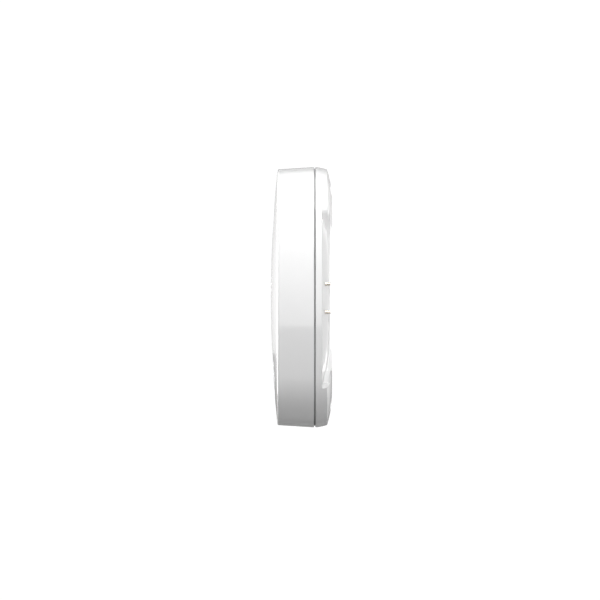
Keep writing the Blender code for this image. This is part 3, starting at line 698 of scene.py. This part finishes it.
def rear_shell():
    rings = []
    for i in range(REAR_STEPS):
        share = 1 - i / REAR_STEPS
        side_inset = REAR_EDGE_INSET + REAR_SIDE_RUN * share
        rings.append(pill(side_inset, rear_y(share), REAR_EDGE_INSET + REAR_END_RUN * share))
    rings += corner_rings(REAR_EDGE_INSET - REAR_ROUND, REAR_EDGE_Y, REAR_ROUND, 1)
    foot = REAR_SEAM_Y + SEAM_ROUND
    for i in range(1, REAR_BAND_STEPS + 1):
        share = i / REAR_BAND_STEPS
        y = (REAR_EDGE_Y - REAR_ROUND) * (1 - share) + foot * share
        rings.append(pill((REAR_EDGE_INSET - REAR_ROUND) * (1 - share) ** REAR_BAND_POWER, y))
    rings += list(reversed(corner_rings(0, REAR_SEAM_Y, SEAM_ROUND, -1)))[1:]
    rings += [
        pill(WALL, REAR_SEAM_Y),
        pill(WALL, POCKET_Y),
        pill(CAVITY_INSET, POCKET_Y),
        pill(CAVITY_INSET, CAVITY_Y),
    ]
    shell = loft("rear_shell_fine", rings, FINISH["casing"])
    holes = bmesh.new()
    for z in PIN_Z.values():
        add_loft(holes, [circle(r, y, 40, (PIN_X, z)) for r, y in PIN_HOLE])
    for place in SCREW_PLACES:
        mouth = screw_mouth(place)
        profile = (
            (SCREW_SINK_MOUTH, mouth + 1.0 * MM), (SCREW_SINK, mouth - 0.2 * MM),
            (SCREW_SINK, SCREW_SINK_Y), (SCREW_HOLE, SCREW_SINK_Y), (SCREW_HOLE, CUT_SEAM_Y),
        )
        add_loft(holes, [circle(r, y, 48, place) for r, y in profile])
    add_loft(holes, [circle(r, y, 40, (0, RESET_Z)) for r, y in RESET_HOLE])
    pads = [
        rounded_block("cut", PAD_RECESS, (0, 0, z), PAD_RECESS_CORNER, PAD_RECESS_EDGE, None)
        for z in PAD_Z.values()
    ]
    boolean(shell, [scoop_cutter(1), scoop_cutter(-1), new_object("holes", holes, None), *pads])
    smooth(shell, 28)
    ride(shell, "housing", "casing", "rear_shell")


def screw_mouth(place):
    """Depth of the rear surface at a screw, on the ring of the rounding that passes through it."""
    x, z = place
    edge = END_RADIUS - REAR_EDGE_INSET
    low, high = 0.0, 1.0
    for _ in range(30):
        share = (low + high) / 2
        across, along = edge - REAR_SIDE_RUN * share, edge - REAR_END_RUN * share
        if (x / across) ** 2 + ((abs(z) - END_CENTRE) / along) ** 2 < 1:
            low = share
        else:
            high = share
    return rear_y(low)


# ---------------------------------------------------------------- smaller pieces


def seam_gasket():
    """A rubber ring behind the walls, with a lip whose rounded edge closes the bottom of the seam."""
    outer, inner = WALL + 0.3 * MM, WALL + 1.2 * MM
    middle, half = (FRONT_SEAM_Y + REAR_SEAM_Y) / 2, LIP_ROUND
    front, rear = FRONT_SEAM_Y - 0.9 * MM, POCKET_Y - 0.3 * MM
    rings = [pill(inner, front), pill(outer, front), pill(outer, middle - half)]
    for i in range(LIP_STEPS + 1):
        angle = math.pi * (i / LIP_STEPS - 0.5)
        rings.append(pill(LIP_INSET + half * (1 - math.cos(angle)), middle + half * math.sin(angle)))
    rings += [pill(outer, middle + half), pill(outer, rear), pill(inner, rear)]
    ring = loft("seam_gasket_fine", rings, FINISH["seal"], ends="loop", sharp=50)
    ride(ring, "housing", "seal", "seam_gasket")


def camera_window():
    """A printed cover glass with a clear centre, and the front lens under it."""
    radius = WINDOW_RADIUS
    centre = LENS_RADIUS
    mask = [(centre, 0.75 * MM), (centre + 0.25 * MM, 0.5 * MM), (radius - 0.5 * MM, 0.42 * MM)]
    mask += arc((radius - 0.3 * MM, 0.72 * MM), 0.3 * MM, -90, 0)
    mask += [(radius, 1.9 * MM), (centre, 1.9 * MM)]
    cover = turned("camera_window_mask", mask, FINISH["dark_window"], ends="loop")
    bake_place(place_at(cover, *face_place(CAMERA_Z)))
    ride(cover, "housing", "dark_window", "camera_window")
    glass = [(0.3 * MM, 0.6 * MM)]
    glass += [(centre * 0.94 * i / 8, 0.6 * MM + 0.5 * MM * (i / 8) ** 2) for i in range(1, 9)]
    glass += [(centre - 0.2 * MM, 1.8 * MM)]
    lens = turned("camera_window_lens", glass, FINISH["lens"])
    bake_place(place_at(lens, *face_place(CAMERA_Z)))
    ride(lens, "housing", "lens")


def button():
    place, tilt = face_place(BUTTON_Z)
    radius = BUTTON_RADIUS - 0.1 * MM
    cap = [(radius * 0.92 * i / 12, 0.06 * MM + 0.16 * MM * (i / 12) ** 2) for i in range(1, 13)]
    cap += arc((radius - 0.35 * MM, 0.6 * MM), 0.35 * MM, -80, 0)
    cap += [
        (radius, 4.5 * MM), (radius + 1.3 * MM, 4.5 * MM), (radius + 1.3 * MM, 5.2 * MM),
        (radius - 1.1 * MM, 5.2 * MM), (radius - 1.1 * MM, 1.6 * MM), (2 * MM, 1.6 * MM), (2 * MM, 2.9 * MM),
    ]
    piece = turned("button_cap_fine", cap, FINISH["casing"], steps=96)
    ride(bake_place(place_at(piece, place, tilt)), "button", "casing", "button_cap")
    inner, outer = BUTTON_RADIUS + 0.2 * MM, BUTTON_RADIUS + 1.7 * MM
    ring = [(inner, 2.1 * MM), *arc((inner + 0.3 * MM, 0.66 * MM), 0.3 * MM, 180, 270)]
    ring += [*arc((outer - 0.3 * MM, 0.66 * MM), 0.3 * MM, 270, 360), (outer, 2.1 * MM)]
    piece = turned("light_ring_fine", ring, FINISH["diffuser"], steps=96, ends="loop")
    ride(bake_place(place_at(piece, place, tilt)), "housing", "diffuser", "light_ring")


def contacts():
    tip_round = arc((PIN_RADIUS - PIN_TIP_ROUND, PIN_TIP_Y - 0.24 * MM), PIN_TIP_ROUND, 88, 0)
    pin = [(PIN_RADIUS - 0.3 * MM, PIN_TIP_Y), *tip_round, (PIN_RADIUS, PIN_FOOT_Y)]
    shoulder = BARREL_FOOT_Y + 1.2 * MM
    barrel = [
        (BARREL_TAIL_RADIUS, BARREL_FOOT_Y), (BARREL_TAIL_RADIUS, shoulder),
        (BARREL_RADIUS, shoulder), (BARREL_RADIUS, -4.85 * MM),
        (1.28 * MM, -4.72 * MM), (1.12 * MM, -4.72 * MM),
        (BARREL_BORE, -4.8 * MM), (BARREL_BORE, shoulder + 0.4 * MM),
    ]
    for level, z in PIN_Z.items():
        piece = turned(f"contact_pin_{level}_fine", pin, FINISH["gold"], (PIN_X, z), 48)
        ride(piece, f"pin_{level}", "gold", f"contact_pin_{level}")
        piece = turned(f"contact_barrel_{level}_fine", barrel, FINISH["gold"], (PIN_X, z), 48)
        ride(piece, "housing", "gold", f"contact_barrel_{level}")


def rear_pads():
    for level, z in PAD_Z.items():
        low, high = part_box(f"rear_pad_{level}")
        size = [high[i] - low[i] for i in range(3)]
        middle = [(high[i] + low[i]) / 2 for i in range(3)]
        pad = rounded_block(f"rear_pad_{level}_fine", size, middle, 1.3 * MM, 0.15 * MM, FINISH["pad"])
        ride(pad, "housing", "pad", f"rear_pad_{level}")


def housing_screws():
    """Pan heads with a six-lobed recess, and a fine thread on each shank."""
    for i, place in enumerate(SCREW_PLACES):
        rounding = arc((2.3 * MM, -2.84 * MM), 0.5 * MM, 80, 0)
        head = [(0.4 * MM, -2.34 * MM), (2.0 * MM, -2.34 * MM), *rounding]
        shank = [(2.8 * MM, -3.95 * MM), (1.05 * MM, -3.95 * MM)]
        root, crest = THREAD_RADII
        for k in range(THREAD_TURNS):
            y = THREAD_TOP_Y - THREAD_PITCH * k
            shank += [(root, y + THREAD_HALF), (crest, y), (root, y - THREAD_HALF)]
        shank.append((0.3 * MM, SCREW_FOOT_Y))
        screw = turned(f"housing_screw_{i + 1}_fine", [*head, *shank], FINISH["steel"], place, 48)
        lobes = []
        for depth in LOBE_DEPTHS:
            ring = []
            for k in range(LOBE_STEPS):
                angle = 2 * math.pi * k / LOBE_STEPS
                radius = (1.25 + 0.22 * math.cos(6 * angle)) * MM
                x, z = radius * math.cos(angle), radius * math.sin(angle)
                ring.append(Vector((place[0] + x, depth, place[1] + z)))
            lobes.append(ring)
        boolean(screw, [loft("recess", lobes, None)])
        smooth(screw, 35)
        ride(screw, "housing", "steel", f"housing_screw_{i + 1}")


def reset_button():
    cap = [(1.2 * MM * i / 5, -0.62 * MM - 0.1 * MM * (1 - (i / 5) ** 2)) for i in range(1, 6)]
    cap += arc((1.3 * MM, -0.82 * MM), 0.2 * MM, 80, 0)
    cap += [
        (1.5 * MM, -2.6 * MM), (2.4 * MM, -2.6 * MM), (2.4 * MM, -3.2 * MM),
        (1.0 * MM, -3.2 * MM), (1.0 * MM, -4.2 * MM),
    ]
    piece = turned("reset_button_fine", cap, FINISH["grey_plastic"], (0, RESET_Z), 40)
    ride(piece, "reset", "grey_plastic", "reset_button")


def inner_pieces():
    """Every CAD node that stays takes its slot's finish."""
    for part in frame["record"]["subparts"]:
        obj = frame["nodes"][part["node"]]
        if not obj.hide_render:
            obj.data.materials.clear()
            obj.data.materials.append(FINISH[part["material_slot"]])


# ---------------------------------------------------------------- camera, floor and light


def camera():
    data = bpy.data.cameras.new("camera")
    data.sensor_width = SENSOR
    data.lens = SENSOR * CAMERA_DISTANCE / FRAME_WIDTH
    data.clip_end = 50
    obj = bpy.data.objects.new("camera", data)
    bpy.context.scene.collection.objects.link(obj)
    obj.location = TARGET + Vector((CAMERA_DISTANCE, 0, 0))
    obj.rotation_euler = (math.pi / 2, 0, math.pi / 2)
    bpy.context.scene.camera = obj


def floor():
    """A plain pale floor well below the hanging unit."""
    bm = bmesh.new()
    bmesh.ops.create_grid(bm, x_segments=1, y_segments=1, size=FLOOR_HALF)
    obj = new_object("floor", bm, None)
    obj.location = (0, 0, FLOOR_Z)
    nodes = Nodes("floor")
    nodes.set(Roughness=0.9)
    nodes.colours(nodes.noise(3), (0.88, 0.88, 0.88), (0.9, 0.9, 0.9))
    obj.data.materials.append(nodes.material)


def softbox(name, place, size, radiance, aim=(0, -0.014, 0)):
    """A soft rectangle of light that the camera doesn't see."""
    data = bpy.data.lights.new(name, "AREA")
    data.shape = "RECTANGLE"
    data.size, data.size_y = size
    data.energy = radiance * math.pi * size[0] * size[1]
    obj = bpy.data.objects.new(name, data)
    bpy.context.scene.collection.objects.link(obj)
    obj.location = place
    obj.rotation_euler = (Vector(aim) - Vector(place)).to_track_quat("-Z", "Y").to_euler()
    obj.visible_camera = False


def surroundings():
    """White to the camera. To the object, a dark room that is a soft grey below the horizon."""
    world = bpy.data.worlds.new("studio")
    bpy.context.scene.world = world
    world.use_nodes = True
    tree = world.node_tree
    seen = tree.nodes["Background"]
    seen.inputs["Color"].default_value = (1, 1, 1, 1)
    seen.inputs["Strength"].default_value = BACKGROUND
    coords = tree.nodes.new("ShaderNodeTexCoord")
    split = tree.nodes.new("ShaderNodeSeparateXYZ")
    rise = tree.nodes.new("ShaderNodeMapRange")
    rise.interpolation_type = "SMOOTHSTEP"
    rise.inputs["From Min"].default_value = -0.3
    rise.inputs["From Max"].default_value = 0.5
    rise.inputs["To Min"].default_value = ROOM_BELOW
    rise.inputs["To Max"].default_value = ROOM_ABOVE
    room = tree.nodes.new("ShaderNodeBackground")
    room.inputs["Color"].default_value = (1, 1, 1, 1)
    path = tree.nodes.new("ShaderNodeLightPath")
    mix = tree.nodes.new("ShaderNodeMixShader")
    tree.links.new(coords.outputs["Generated"], split.inputs["Vector"])
    tree.links.new(split.outputs["Z"], rise.inputs["Value"])
    tree.links.new(rise.outputs["Result"], room.inputs["Strength"])
    tree.links.new(path.outputs["Is Camera Ray"], mix.inputs["Fac"])
    tree.links.new(room.outputs["Background"], mix.inputs[1])
    tree.links.new(seen.outputs["Background"], mix.inputs[2])
    tree.links.new(mix.outputs["Shader"], tree.nodes["World Output"].inputs["Surface"])


def studio():
    bpy.context.scene.view_settings.view_transform = "Standard"
    surroundings()
    softbox("side", (1.98, 0.2, 0.171), (1.4, 0.4), 2.6, aim=(0, 0.2, 0.171))
    softbox("near", (0.058, -0.014, 0.065), (0.04, 0.04), 0.6, aim=(0.023, -0.014, 0.02))
    softbox("near2", (0.12, -0.014, 0.10), (0.06, 0.06), 7.5, aim=(0.023, -0.014, 0.02))
    softbox("near3", (0.04, -0.014, 0.10), (0.06, 0.06), 1.7, aim=(0.023, -0.014, 0.02))
    softbox("key", (0.5, 0, 0.8), (0.3, 0.3), 3.3)
    softbox("fill", (1.2, 0, 0.5), (0.5, 0.5), 3.8)
    softbox("behind", (-1.0, 0.0, 0.35), (1.4, 0.8), 0.45, aim=(0, 0, 0.35))
    softbox("front_near", (-0.08, -0.25, 0.02), (0.2, 0.24), 6.8, aim=(-0.08, 0, 0.02))
    softbox("back_near", (-0.08, 0.25, 0.02), (0.2, 0.24), 5.1, aim=(-0.08, 0, 0.02))


front_shell()
rear_shell()
seam_gasket()
camera_window()
button()
contacts()
rear_pads()
housing_screws()
reset_button()
inner_pieces()
camera()
floor()
studio()
